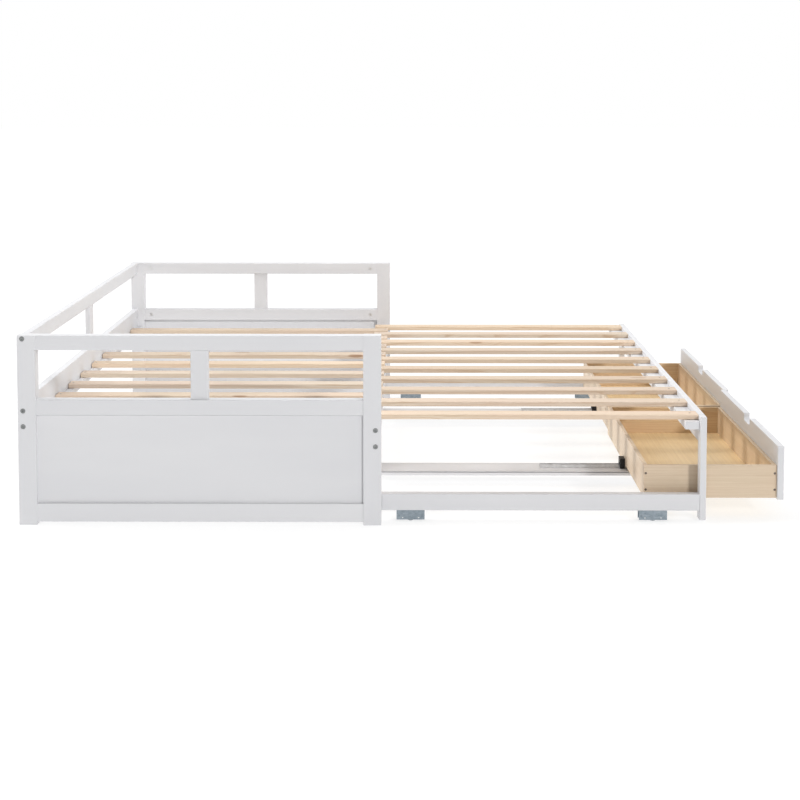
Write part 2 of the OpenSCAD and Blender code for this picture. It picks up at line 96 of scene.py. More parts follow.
class Slot(Enum):
    """The record's material slots."""

    WHITE_PAINT = "white_paint"
    PINE = "pine"
    BOX_PINE = "box_pine"
    PLYWOOD = "plywood"
    SLIDE_STEEL = "slide_steel"
    ZINC_STEEL = "zinc_steel"
    NICKEL_STEEL = "nickel_steel"
    DARK_SCREW = "dark_screw"
    BLACK_PLASTIC = "black_plastic"
    WHEEL_NYLON = "wheel_nylon"


class Along(Enum):
    """The way a board's grain runs: from back to front, along the bed, or upright."""

    DEPTH = 0
    LENGTH = 1
    HEIGHT = 2


class Side(Enum):
    """An end of the bed, as seen from its front."""

    LEFT = "left"
    RIGHT = "right"


# ---- Materials ----


class Wiring:
    """A material's node tree, built with short calls that return the socket to read."""

    def __init__(self, name: str) -> None:
        """Starts a material.

        Args:
            name: The material's name.
        """
        self.material = bpy.data.materials.new(name)
        self.material.use_nodes = True
        self.tree = self.material.node_tree
        self.shader = next(n for n in self.tree.nodes if n.type == "BSDF_PRINCIPLED")

    def node(self, kind: str, sockets: dict | None = None, **settings: object) -> bpy.types.Node:
        """Adds a node.

        Args:
            kind: The node's type name without its ShaderNode prefix.
            sockets: Input name or number to a value, or to the socket that feeds it.
            **settings: The node's own settings.

        Returns:
            The node.
        """
        made = self.tree.nodes.new("ShaderNode" + kind)
        for key, value in settings.items():
            setattr(made, key, value)
        for key, value in (sockets or {}).items():
            if isinstance(value, bpy.types.NodeSocket):
                self.tree.links.new(value, made.inputs[key])
            else:
                made.inputs[key].default_value = value
        return made

    def attribute(self, name: str, output: str = "Vector") -> Socket:
        """Reads one of the mesh's own attributes."""
        return self.node("Attribute", attribute_name=name).outputs[output]

    def stretched(self, by: Triple) -> Socket:
        """The grain's coordinates, with the axes along, across and through the board scaled."""
        made = self.node("VectorMath", {0: self.attribute("grain"), 1: by}, operation="MULTIPLY")
        return made.outputs["Vector"]

    def noise(self, by: Triple, detail: float = 2.0, roughness: float = 0.5) -> Socket:
        """Cloudy values from 0 to 1 on the grain's coordinates.

        Args:
            by: Scales along, across and through the board, in patches for each metre.
            detail: How many finer layers are added.
            roughness: How strong the finer layers are.

        Returns:
            The value's socket.
        """
        sockets = {"Vector": self.stretched(by), "Scale": 1.0, "Detail": detail,
                   "Roughness": roughness}
        return self.node("TexNoise", sockets).outputs["Fac"]

    def math(self, operation: str, a: Socket | float, b: Socket | float = 0.0) -> Socket:
        """One sum on values that vary over the surface."""
        return self.node("Math", {0: a, 1: b}, operation=operation).outputs["Value"]

    def spread(self, value: Socket, source: Pair, target: Pair) -> Socket:
        """Maps a value from one range to another, held at both ends.

        Args:
            value: The value to map.
            source: Its lowest and highest expected value.
            target: What those two become.

        Returns:
            The mapped value's socket.
        """
        sockets = {"Value": value, "From Min": source[0], "From Max": source[1],
                   "To Min": target[0], "To Max": target[1]}
        made = self.node("MapRange", sockets, interpolation_type="SMOOTHSTEP")
        return made.outputs["Result"]

    def ramp(self, value: Socket, stops: list[tuple[float, Triple]]) -> Socket:
        """Colours along a value.

        Args:
            value: The value from 0 to 1.
            stops: Places on it with their colours.

        Returns:
            The colour's socket.
        """
        made = self.node("ValToRGB", {"Fac": value})
        ends = made.color_ramp.elements
        halfway = 0.5
        while len(ends) < len(stops):
            ends.new(halfway)
        for element, (place, colour) in zip(ends, stops):
            element.position = place
            element.color = (*colour, 1.0)
        return made.outputs["Color"]

    def clouded(self, cloud: Socket, low: Triple, high: Triple) -> Socket:
        """A colour that drifts between two with a cloudy value."""
        return self.ramp(cloud, [(CLOUDY[0], low), (CLOUDY[1], high)])

    def mix(self, share: Socket | float, a: Socket | Triple, b: Socket | Triple,
            blend: str = "MIX") -> Socket:
        """Mixes two colours, of which at least one varies over the surface.

        Args:
            share: How much of the second colour is taken.
            a: The first colour.
            b: The second colour.
            blend: Blender's name for the way they mix.

        Returns:
            The mixed colour's socket.
        """
        made = self.node("Mix", data_type="RGBA", blend_type=blend)
        for place, value in ((MIX_SHARE, share), (MIX_FIRST, a), (MIX_SECOND, b)):
            if isinstance(value, bpy.types.NodeSocket):
                self.tree.links.new(value, made.inputs[place])
            elif place == MIX_SHARE:
                made.inputs[place].default_value = value
            else:
                made.inputs[place].default_value = (*value, 1.0)
        return made.outputs[MIX_RESULT]

    def bump(self, height: Socket, strength: float, depth: float) -> None:
        """Puts relief on the surface.

        Args:
            height: The relief from 0 to 1.
            strength: How much of it is used.
            depth: How deep it is, in metres.
        """
        sockets = {"Height": height, "Strength": strength, "Distance": depth}
        made = self.node("Bump", sockets)
        self.tree.links.new(made.outputs["Normal"], self.shader.inputs["Normal"])

    def feed(self, **sockets: Socket | float | tuple) -> None:
        """Sets or links the shader's inputs, named with _ for each space.

        Args:
            **sockets: Input name to its value or socket.
        """
        for key, value in sockets.items():
            into = self.shader.inputs[key.replace("_", " ")]
            if isinstance(value, bpy.types.NodeSocket):
                self.tree.links.new(value, into)
            else:
                into.default_value = (*value, 1.0) if isinstance(value, tuple) else value

    def rings(self, gap: float, vector: Socket | None = None, waver: float = 5.0,
              detail: float = 2.0, coarseness: float = 0.35, roughness: float = 0.5) -> Socket:
        """Growth rings about the tree's heart, each rising from 0 at its soft early wood to 1.

        Args:
            gap: Distance between rings, in metres.
            vector: Grain coordinates to use in place of the plain ones.
            waver: How far the rings wander.
            detail: How many finer layers their wandering has.
            coarseness: The scale of that wandering.
            roughness: How strong its finer layers are.

        Returns:
            The value's socket.
        """
        sockets = {"Vector": vector or self.stretched(DRAWN_OUT), "Scale": RING_REPEAT / gap,
                   "Distortion": waver, "Detail": detail, "Detail Scale": coarseness,
                   "Detail Roughness": roughness}
        made = self.node("TexWave", sockets, wave_type="RINGS", rings_direction="X",
                         wave_profile="SAW")
        return made.outputs["Fac"]


class Finish(Protocol):
    """What a piece is finished with."""

    def material(self) -> bpy.types.Material:
        """Builds the material."""


@dataclass(frozen=True)
class SatinPaint:
    """Sprayed satin white over sanded pine: faint grain telegraphs through, arrises wear thin."""

    name: str = "satin_white_paint"
    light: Triple = (0.770, 0.770, 0.782)
    shade: Triple = (0.738, 0.739, 0.755)
    thin: Triple = (0.70, 0.655, 0.585)
    cloud_patch: Triple = (1.6, 7.0, 7.0)
    cloud_detail: float = 3.0
    gloss_source: Pair = (0.25, 0.75)
    gloss: Pair = (0.40, 0.52)
    scuff_patch: Triple = (9.0, 60.0, 60.0)
    scuff_source: Pair = (0.50, 0.68)
    scuff_most: float = 0.5
    orange_peel: float = 700.0
    ring_gap: float = 0.0042
    fibre_patch: Triple = (16.0, 650.0, 650.0)
    telegraphed: float = 0.5
    relief: float = 0.10
    relief_depth: float = 0.00025

    def material(self) -> bpy.types.Material:
        """Builds the material.

        Returns:
            The paint.
        """
        w = Wiring(self.name)
        cloud = w.noise(self.cloud_patch, self.cloud_detail)
        colour = w.clouded(cloud, self.shade, self.light)
        scuffs = w.spread(w.noise(self.scuff_patch, self.cloud_detail), self.scuff_source,
                          (0.0, self.scuff_most))
        worn = w.math("MULTIPLY", scuffs, w.attribute("arris", "Fac"))
        colour = w.mix(worn, colour, self.thin)
        peel = w.noise((self.orange_peel,) * 3, 1.0)
        grain = w.math("MULTIPLY", w.rings(self.ring_gap), self.telegraphed)
        fibres = w.math("MULTIPLY", w.noise(self.fibre_patch, 1.0), self.telegraphed)
        height = w.math("ADD", w.math("ADD", grain, fibres), peel)
        w.bump(height, self.relief, self.relief_depth)
        w.feed(Base_Color=colour, Roughness=w.spread(cloud, self.gloss_source, self.gloss))
        return w.material


@dataclass(frozen=True)
class PlanedPine:
    """Pine with growth rings, fibres and a few small knots, bare or clear-sealed."""

    name: str
    early: Triple
    late: Triple
    blush: Triple
    figure: float = 1.0
    ring_gap: float = 0.0040
    late_from: float = 0.55
    late_full: float = 0.93
    smooth: float = 0.46
    coarse: float = 0.62
    gloss_source: Pair = (0.1, 0.95)
    knot: Triple = (0.42, 0.25, 0.15)
    knot_size: float = 0.15
    knot_core: float = 0.6
    knot_cells: Triple = (4.2, 20.0, 20.0)
    knotless: float = 0.6
    knot_share: float = 0.65
    swell_source: Pair = (0.08, 0.5)
    swell: float = 0.008
    blush_patch: Triple = (2.2, 13.0, 13.0)
    blush_source: Pair = (0.35, 0.7)
    blush_most: float = 0.55
    fibre_patch: Triple = (13.0, 700.0, 700.0)
    fibre_roughness: float = 0.6
    streak_patch: Triple = (1.1, 150.0, 150.0)
    line_colour: Triple = (0.88, 0.85, 0.80)
    line_source: Pair = (0.3, 0.62)
    line_share: float = 0.8
    handled_colour: Triple = (0.86, 0.80, 0.72)
    handled_patch: Triple = (12.0, 40.0, 40.0)
    handled_share: float = 0.35
    relief: float = 0.28
    relief_depth: float = 0.0003

    def knots(self, w: Wiring) -> tuple[Socket, Socket]:
        """Finds the knots.

        Args:
            w: The material's wiring.

        Returns:
            How much a point is knot, and how much the rings swell round it.
        """
        cells = w.node("TexVoronoi", {"Vector": w.stretched(self.knot_cells), "Scale": 1.0})
        chosen = w.node("SeparateColor", {"Color": cells.outputs["Color"]}).outputs["Red"]
        kept = w.math("GREATER_THAN", chosen, self.knotless)
        near = cells.outputs["Distance"]
        rim = (self.knot_size * self.knot_core, self.knot_size)
        core = w.math("MULTIPLY", kept, w.spread(near, rim, (1.0, 0.0)))
        swell = w.math("MULTIPLY", kept, w.spread(near, self.swell_source, (1.0, 0.0)))
        return core, swell

    def bent_rings(self, w: Wiring, swell: Socket) -> Socket:
        """Growth rings that bend round the knots.

        Args:
            w: The material's wiring.
            swell: How much the rings swell.

        Returns:
            The rings' value.
        """
        pushed = w.node("VectorMath", {0: w.node("CombineXYZ", {1: swell, 2: swell}).outputs[0],
                                       1: (0.0, self.swell, self.swell)}, operation="MULTIPLY")
        path = w.node("VectorMath", {0: w.stretched(DRAWN_OUT), 1: pushed.outputs[0]},
                      operation="ADD").outputs[0]
        return w.rings(self.ring_gap, path)

    def material(self) -> bpy.types.Material:
        """Builds the material.

        Returns:
            The wood.
        """
        w = Wiring(self.name)
        core, swell = self.knots(w)
        rings = self.bent_rings(w, swell)
        late = tuple(e + self.figure * (l - e) for e, l in zip(self.early, self.late))
        colour = w.ramp(rings, [(0.0, self.early), (self.late_from, self.early),
                                (self.late_full, late), (1.0, self.early)])
        cloud = w.noise(self.blush_patch, 3.0)
        colour = w.mix(w.spread(cloud, self.blush_source, (0.0, self.blush_most)), colour,
                       self.blush)
        fibres = w.noise(self.fibre_patch, 2.0, self.fibre_roughness)
        streaks = w.noise(self.streak_patch, 2.0)
        lines = w.ramp(w.math("MULTIPLY", w.math("ADD", fibres, streaks), 0.5),
                       [(self.line_source[0], self.line_colour), (self.line_source[1], WHITE)])
        colour = w.mix(self.line_share, colour, lines, "MULTIPLY")
        colour = w.mix(w.math("MULTIPLY", core, self.knot_share), colour, self.knot)
        colour = w.mix(1.0, colour, w.attribute("tint", "Color"), "MULTIPLY")
        handled = w.math("MULTIPLY", w.attribute("arris", "Fac"),
                         w.noise(self.handled_patch, 2.0))
        colour = w.mix(w.math("MULTIPLY", handled, self.handled_share), colour,
                       self.handled_colour, "MULTIPLY")
        height = w.math("ADD", w.math("MULTIPLY", rings, 0.5), fibres)
        w.bump(height, self.relief, self.relief_depth)
        w.feed(Base_Color=colour,
               Roughness=w.spread(rings, self.gloss_source, (self.coarse, self.smooth)))
        return w.material


@dataclass(frozen=True)
class PlatedSteel:
    """Plated steel: a cloudy coating, a rolled direction and brighter worn edges."""

    name: str
    light: Triple
    dark: Triple
    roughness: Pair = (0.34, 0.5)
    patch: float = 160.0
    metallic: float = 1.0
    drawn: float = 0.5
    cloud_detail: float = 3.0
    cloud_roughness: float = 0.6
    rolled_patch: Triple = (20.0, 1500.0, 1500.0)
    worn_share: float = 0.4
    worn_gain: float = 1.25
    relief: float = 0.15
    relief_depth: float = 0.0001

    def material(self) -> bpy.types.Material:
        """Builds the material.

        Returns:
            The steel.
        """
        w = Wiring(self.name)
        cloud = w.noise((self.patch * self.drawn, self.patch, self.patch), self.cloud_detail,
                        self.cloud_roughness)
        colour = w.clouded(cloud, self.dark, self.light)
        rolled = w.noise(self.rolled_patch, 2.0)
        edge = w.math("MULTIPLY", w.attribute("arris", "Fac"), self.worn_share)
        colour = w.mix(edge, colour, tuple(min(1.0, c * self.worn_gain) for c in self.light))
        w.bump(w.math("ADD", rolled, cloud), self.relief, self.relief_depth)
        mean = w.math("MULTIPLY", w.math("ADD", rolled, cloud), 0.5)
        w.feed(Base_Color=colour, Metallic=self.metallic,
               Roughness=w.spread(mean, CLOUDY, self.roughness))
        return w.material


@dataclass(frozen=True)
class Moulded:
    """Moulded plastic: a fine spark-eroded skin and slight flow marks."""

    name: str
    colour: Triple
    flow: Triple
    roughness: Pair = (0.42, 0.55)
    flow_patch: Triple = (60.0, 60.0, 60.0)
    flow_detail: float = 3.0
    skin_patch: Triple = (1800.0, 1800.0, 1800.0)
    relief: float = 0.25
    relief_depth: float = 0.0001

    def material(self) -> bpy.types.Material:
        """Builds the material.

        Returns:
            The plastic.
        """
        w = Wiring(self.name)
        cloud = w.noise(self.flow_patch, self.flow_detail)
        w.bump(w.noise(self.skin_patch, 1.0), self.relief, self.relief_depth)
        w.feed(Base_Color=w.clouded(cloud, self.colour, self.flow),
               Roughness=w.spread(cloud, CLOUDY, self.roughness))
        return w.material


FINISHES: dict[Slot, Finish] = {
    Slot.WHITE_PAINT: SatinPaint(),
    Slot.PINE: PlanedPine("planed_pine", (0.775, 0.672, 0.555), (0.68, 0.535, 0.40),
                          (0.765, 0.618, 0.515)),
    Slot.BOX_PINE: PlanedPine("sealed_box_pine", (0.750, 0.640, 0.505), (0.64, 0.485, 0.335),
                              (0.735, 0.595, 0.465), coarse=0.5, smooth=0.36, figure=0.6),
    Slot.PLYWOOD: PlanedPine("sealed_plywood", (0.80, 0.645, 0.42), (0.71, 0.53, 0.31),
                             (0.77, 0.60, 0.38), ring_gap=0.017, knot_size=0.0,
                             coarse=0.5, smooth=0.4, figure=0.45),
    Slot.SLIDE_STEEL: PlatedSteel("slide_steel", (0.88, 0.885, 0.89), (0.74, 0.745, 0.75)),
    Slot.ZINC_STEEL: PlatedSteel("blue_zinc_steel", (0.47, 0.52, 0.56), (0.31, 0.36, 0.40)),
    Slot.NICKEL_STEEL: PlatedSteel("dark_nickel_steel", (0.50, 0.51, 0.51), (0.30, 0.31, 0.31),
                                   roughness=(0.34, 0.48), patch=300.0),
    Slot.DARK_SCREW: PlatedSteel("phosphated_screw_steel", (0.34, 0.29, 0.25),
                                 (0.20, 0.165, 0.14), roughness=(0.4, 0.55), patch=400.0,
                                 metallic=0.85),
    Slot.BLACK_PLASTIC: Moulded("black_guide_plastic", (0.028, 0.028, 0.03),
                                (0.045, 0.044, 0.045)),
    Slot.WHEEL_NYLON: Moulded("grey_wheel_nylon", (0.50, 0.52, 0.54), (0.60, 0.62, 0.64)),
}


# ---- Working the frame's solids into pieces ----


@dataclass(frozen=True)
class Cut:
    """How one node's boards are cut from the tree and worked.

    The ease is how far a corner is rounded: along the grain, round the ends too, or round the
    whole outline. The tones are how dark and how light the boards may be, and the amber is how
    much deeper than plain pine their colour is.
    """

    node: str
    along: Along
    ease: float
    ends: bool = False
    outline: bool = False
    slot: Slot = Slot.WHITE_PAINT
    tones: Pair = (0.97, 1.03)
    amber: float = 0.0


@dataclass(frozen=True)
class Tree:
    """The tree that the boards come from, and how its colour varies."""

    height: float = 40.0
    heart_away: Pair = (0.035, 0.11)
    lean: float = 0.02
    warmth: float = 0.02
    blue_for_warmth: float = 1.6
    green_for_amber: float = 0.35


@dataclass
class Workbench:
    """Turns nodes into pieces, and keeps the finishes and the list of what was made."""

    frame: dict
    tree: Tree = Tree()
    made: list[bpy.types.Object] = field(default_factory=list)
    dressed: dict[Slot, bpy.types.Material] = field(default_factory=dict)
    weld: float = 2e-6
    flat: float = math.radians(0.5)
    square: float = math.radians(60)
    crease: float = math.radians(38)
    shortest: float = 0.008
    ease_steps: int = 3
    ease_profile: float = 0.5

    def finish(self, slot: Slot) -> bpy.types.Material:
        """Finds a slot's material, and builds it the first time.

        Args:
            slot: The record's slot.

        Returns:
            The material.
        """
        if slot not in self.dressed:
            self.dressed[slot] = FINISHES[slot].material()
        return self.dressed[slot]

    def solids(self, node: str) -> list[bmesh.types.BMesh]:
        """Takes a node's mesh apart into its separate solids, with whole flat faces.

        Args:
            node: The node's name.

        Returns:
            The solids from left to right, then from back to front.
        """
        whole = bmesh.new()
        whole.from_mesh(self.frame["nodes"][node].data)
        bmesh.ops.remove_doubles(whole, verts=whole.verts, dist=self.weld)
        bmesh.ops.dissolve_limit(whole, angle_limit=self.flat, verts=whole.verts,
                                 edges=whole.edges)
        seen: set[bmesh.types.BMVert] = set()
        parts = []
        for start in whole.verts:
            if start in seen:
                continue
            seen.add(start)
            group, queue = [start], [start]
            while queue:
                for edge in queue.pop().link_edges:
                    for other in edge.verts:
                        if other not in seen:
                            seen.add(other)
                            group.append(other)
                            queue.append(other)
            part = bmesh.new()
            twin = {v: part.verts.new(v.co) for v in group}
            for face in {f for v in group for f in v.link_faces}:
                part.faces.new([twin[v] for v in face.verts])
            part.normal_update()
            parts.append(part)
        whole.free()
        return sorted(parts, key=self.place)

    @staticmethod
    def place(part: bmesh.types.BMesh) -> Triple:
        """A solid's place, to the millimetre: along the bed, then its depth, then its height."""
        middle = sum((v.co for v in part.verts), Vector()) / len(part.verts)
        return tuple(round(c, PLACE_DIGITS) for c in (middle.y, middle.x, middle.z))

    def is_arris(self, edge: bmesh.types.BMEdge, cut: Cut) -> bool:
        """Whether an edge of a board is one that gets eased.

        Args:
            edge: The edge.
            cut: How the board is worked.

        Returns:
            True for an outward corner that the cut asks to ease.
        """
        if len(edge.link_faces) != 2 or edge.calc_face_angle_signed(0.0) < self.square:
            return False
        if cut.outline:
            return True
        run = (edge.verts[1].co - edge.verts[0].co).normalized()
        axis = cut.along.value
        if abs(run[axis]) > SAME_WAY:
            return edge.calc_length() > self.shortest
        return cut.ends and any(abs(f.normal[axis]) > SAME_WAY for f in edge.link_faces)

    def dress(self, part: bmesh.types.BMesh, name: str, cut: Cut) -> bpy.types.Object:
        """Eases a solid's arrises, gives it grain and a finish, and puts it on its body.

        Args:
            part: The solid, which is used up.
            name: The piece's name.
            cut: How it is worked.

        Returns:
            The piece.
        """
        picked = [e for e in part.edges if self.is_arris(e, cut)] if cut.ease else []
        rounded: set[bmesh.types.BMFace] = set()
        if picked:
            eased = bmesh.ops.bevel(part, geom=picked, offset=cut.ease, offset_type="OFFSET",
                                    segments=self.ease_steps, profile=self.ease_profile,
                                    affect="EDGES", clamp_overlap=True)
            rounded = set(eased["faces"])
        self.grow(part, name, cut, rounded)
        for face in part.faces:
            face.smooth = True
        mesh = bpy.data.meshes.new(name)
        part.to_mesh(mesh)
        part.free()
        mesh.set_sharp_from_angle(angle=self.crease)
        mesh.materials.append(self.finish(cut.slot))
        piece = bpy.data.objects.new(name, mesh)
        bpy.context.scene.collection.objects.link(piece)
        weighted = piece.modifiers.new("flat_faces_stay_flat", "WEIGHTED_NORMAL")
        weighted.keep_sharp = True
        self.hand_over(piece, cut.node, cut.slot)
        return piece

    def grow(self, part: bmesh.types.BMesh, name: str, cut: Cut,
             rounded: set[bmesh.types.BMFace]) -> None:
        """Writes each vertex's place in the tree, its board's tone and where arrises are.

        Args:
            part: The solid.
            name: The piece's name, which settles the piece of tree that it came from.
            cut: How it is worked.
            rounded: The faces that easing made.
        """
        draw = random.Random(zlib.crc32(name.encode()))
        grain = part.verts.layers.float_vector.new("grain")
        arris = part.verts.layers.float.new("arris")
        tint = part.verts.layers.float_color.new("tint")
        middle = sum((v.co for v in part.verts), Vector()) / len(part.verts)
        tree = self.tree
        turn = draw.uniform(0.0, math.tau)
        heart = draw.uniform(*tree.heart_away)
        shift = Vector((draw.uniform(0.0, tree.height), heart * math.cos(turn),
                        heart * math.sin(turn)))
        lean = draw.uniform(-tree.lean, tree.lean)
        tone = draw.uniform(*cut.tones)
        warm = draw.uniform(-tree.warmth, tree.warmth)
        colour = (tone * (1.0 + warm), tone * (1.0 - tree.green_for_amber * cut.amber),
                  tone * (1.0 - tree.blue_for_warmth * warm) * (1.0 - cut.amber), 1.0)
        a = cut.along.value
        for v in part.verts:
            off = v.co - middle
            run = Vector((off[a], off[(a + 1) % 3], off[(a + 2) % 3]))
            run.y += lean * run.x
            v[grain] = run + shift
            v[arris] = 1.0 if rounded and all(f in rounded for f in v.link_faces) else 0.0
            v[tint] = colour

    def hand_over(self, piece: bpy.types.Object, node: str, slot: Slot) -> None:
        """Puts a piece on the node's body in the node's stead, and reports it.

        Args:
            piece: The piece.
            node: The node it stands for.
            slot: The slot that its finish comes from.
        """
        body = self.frame["nodes"][node]["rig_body"]
        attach(piece, body)
        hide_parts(node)
        self.made.append(piece)
        LOG.info("%s: %d faces on %s, %s", piece.name, len(piece.data.polygons), body, slot.value)

    def board(self, cut: Cut) -> None:
        """Makes a node's one board."""
        part, = self.solids(cut.node)
        self.dress(part, cut.node + "_board", cut)

    def boards(self, cut: Cut, name: str) -> None:
        """Makes each solid of a node a board of its own, numbered from the left.

        Args:
            cut: How they are worked.
            name: What one of them is called.
        """
        for number, part in enumerate(self.solids(cut.node), 1):
            self.dress(part, f"{name}_{number}", cut)


# ---- The bed's sub-assemblies ----


@dataclass
class EndPanel:
    """One end of the bed: two posts, three rails, an upright in the window and an inset panel."""

    side: Side
    post_ease: float = 0.003
    rail_ease: float = 0.002
    panel_ease: float = 0.0004

    def cuts(self) -> list[Cut]:
        """Lists the end's boards.

        Returns:
            Each board with the way it is worked.
        """
        end = self.side.value
        posts = [Cut(f"{end}_{part}", Along.HEIGHT, self.post_ease, ends=True)
                 for part in ("back_post", "front_post")]
        rails = [Cut(f"{end}_{part}", Along.DEPTH, self.rail_ease)
                 for part in ("top_rail", "mid_rail", "bottom_rail")]
        return posts + rails + [
            Cut(f"{end}_window_stile", Along.HEIGHT, self.rail_ease),
            Cut(f"{end}_panel", Along.DEPTH, self.panel_ease),
        ]

    def build(self, bench: Workbench) -> None:
        """Makes the end's pieces."""
        for cut in self.cuts():
            bench.board(cut)


@dataclass
class BackAndStretcher:
    """The low back and the front stretcher that join the two ends, and the back's ledger."""

    ease: float = 0.002
    stile_ease: float = 0.0015

    def build(self, bench: Workbench) -> None:
        """Makes the boards that run along the bed, and the back's upright.

        Args:
            bench: The workbench that makes them.
        """
        for node in ("back_top_rail", "back_low_rail", "back_ledger", "front_stretcher"):
            bench.board(Cut(node, Along.LENGTH, self.ease))
        bench.board(Cut("back_stile", Along.HEIGHT, self.stile_ease))


@dataclass
class Slats:
    """One set of slats, with their screws."""

    node: str
    screws: str
    name: str
    screw_slot: Slot = Slot.ZINC_STEEL
    ease: float = 0.0012
    tones: Pair = (0.90, 1.08)

    def build(self, bench: Workbench) -> None:
        """Makes each slat and the screws.

        Args:
            bench: The workbench that makes them.
        """
        bench.boards(Cut(self.node, Along.DEPTH, self.ease, ends=True, slot=Slot.PINE,
                         tones=self.tones), self.name)
        bench.boards(Cut(self.screws, Along.HEIGHT, NOT_EASED, slot=self.screw_slot),
                     self.name + "_screw")


@dataclass
class PullOutFrame:
    """The rolling frame: legs, front rail, side rails, cross rails, runners and battens."""

    ease: float = 0.002
    leg_ease: float = 0.0025
    bar_ease: float = 0.0003

    def build(self, bench: Workbench) -> None:
        """Makes the frame's boards and its two slide bars.

        Args:
            bench: The workbench that makes them.
        """
        for end in ("left", "right"):
            bench.board(Cut(f"{end}_leg", Along.HEIGHT, self.leg_ease, ends=True))
            bench.board(Cut(f"{end}_side_rail", Along.DEPTH, self.ease))
            bench.board(Cut(f"{end}_runner", Along.DEPTH, self.ease))
            bench.board(Cut(f"{end}_slide_bar", Along.DEPTH, self.bar_ease, ends=True,
                            slot=Slot.SLIDE_STEEL))
        for node in ("front_rail", "front_ledger", "rear_cross_rail", "front_cross_board"):
            bench.board(Cut(node, Along.LENGTH, self.ease))
        bench.board(Cut("slat_batten", Along.LENGTH, self.ease, slot=Slot.PINE))


@dataclass
class Casters:
    """The four fixed casters: channel brackets, axles and nylon wheels."""

    bracket_ease: float = 0.0008
    axle_ease: float = 0.0006

    def build(self, bench: Workbench) -> None:
        """Makes the brackets, the axles and the wheels.

        Args:
            bench: The workbench that makes them.
        """
        bench.boards(Cut("caster_brackets", Along.DEPTH, self.bracket_ease, ends=True,
                         slot=Slot.ZINC_STEEL), "caster_bracket")
        bench.boards(Cut("caster_axles", Along.LENGTH, self.axle_ease, ends=True,
                         slot=Slot.ZINC_STEEL), "caster_axle")
        for end in ("left", "right"):
            for place in ("rear", "front"):
                bench.board(Cut(f"wheel_{end}_{place}", Along.LENGTH, NOT_EASED,
                                slot=Slot.WHEEL_NYLON))


@dataclass(frozen=True)
class BoxBoard:
    """One of a drawer's pine boards: its grain, how amber it is and how light."""

    part: str
    along: Along
    amber: float
    tones: Pair


@dataclass
class Drawer:
    """One drawer: a painted front on a pine box with a plywood bottom, a guide and screws."""

    side: Side
    front_ease: float = 0.0025
    box_ease: float = 0.0012
    guide_ease: float = 0.0012
    bottom_tones: Pair = (1.10, 1.14)
    box: tuple[BoxBoard, ...] = (
        BoxBoard("subfront", Along.LENGTH, 0.03, (0.94, 1.0)),
        BoxBoard("back", Along.LENGTH, -0.06, (1.0, 1.07)),
        BoxBoard("left_side", Along.DEPTH, -0.04, (1.03, 1.08)),
        BoxBoard("right_side", Along.DEPTH, 0.11, (1.0, 1.06)),
    )

    def build(self, bench: Workbench) -> None:
        """Makes the drawer's boards, guide and screws.

        Args:
            bench: The workbench that makes them.
        """
        stem = f"{self.side.value}_drawer_"
        bench.board(Cut(stem + "front", Along.LENGTH, self.front_ease, outline=True))
        for board in self.box:
            bench.board(Cut(stem + board.part, board.along, self.box_ease, slot=Slot.BOX_PINE,
                            tones=board.tones, amber=board.amber))
        bench.board(Cut(stem + "bottom", Along.LENGTH, NOT_EASED, slot=Slot.PLYWOOD,
                        tones=self.bottom_tones))
        bench.board(Cut(stem + "guide", Along.DEPTH, self.guide_ease, ends=True,
                        slot=Slot.BLACK_PLASTIC))
        bench.boards(Cut(stem + "screws", Along.LENGTH, NOT_EASED, slot=Slot.DARK_SCREW),
                     stem + "screw")


@dataclass
class Fasteners:
    """The bolts through the posts and the cams in the end rails, with their finishes."""

    bolt_slot: Slot = Slot.NICKEL_STEEL
    cam_slot: Slot = Slot.SLIDE_STEEL

    def build(self, bench: Workbench) -> None:
        """Makes the bolts with their barrel nuts, and the cams.

        Args:
            bench: The workbench that makes them.
        """
        bench.boards(Cut("frame_bolts", Along.LENGTH, NOT_EASED, slot=self.bolt_slot),
                     "frame_bolt")
        bench.boards(Cut("rail_cams", Along.LENGTH, NOT_EASED, slot=self.cam_slot), "rail_cam")


# ---- The studio ----


class Lamp(Protocol):
    """A light of the studio."""

    def hang(self) -> None:
        """Puts the lamp in the scene."""


@dataclass(frozen=True)
class FarBox:
    """A soft box so far off that its light comes evenly from one direction."""

    name: str
    toward: Triple
    power: float
    spread: float
    away: float = 8.0

    def hang(self) -> None:
        """Puts the lamp in the scene, where toward points to it from the bed."""
        data = bpy.data.lights.new(self.name, "SUN")
        data.energy = self.power
        data.angle = self.spread
        lamp = bpy.data.objects.new(self.name, data)
        lamp.location = Vector(self.toward) * self.away
        lamp.rotation_euler = Vector(self.toward).to_track_quat("Z", "Y").to_euler()
        bpy.context.scene.collection.objects.link(lamp)


@dataclass(frozen=True)
class StripBox:
    """A rectangular soft box, turned to face the bed's middle."""

    name: str
    place: Triple
    sides: Pair
    power: float

    def hang(self) -> None:
        """Puts the lamp in the scene."""
        data = bpy.data.lights.new(self.name, "AREA")
        data.shape = "RECTANGLE"
        data.size, data.size_y = self.sides
        data.energy = self.power
        lamp = bpy.data.objects.new(self.name, data)
        lamp.location = self.place
        lamp.rotation_euler = Vector(self.place).to_track_quat("Z", "Y").to_euler()
        bpy.context.scene.collection.objects.link(lamp)


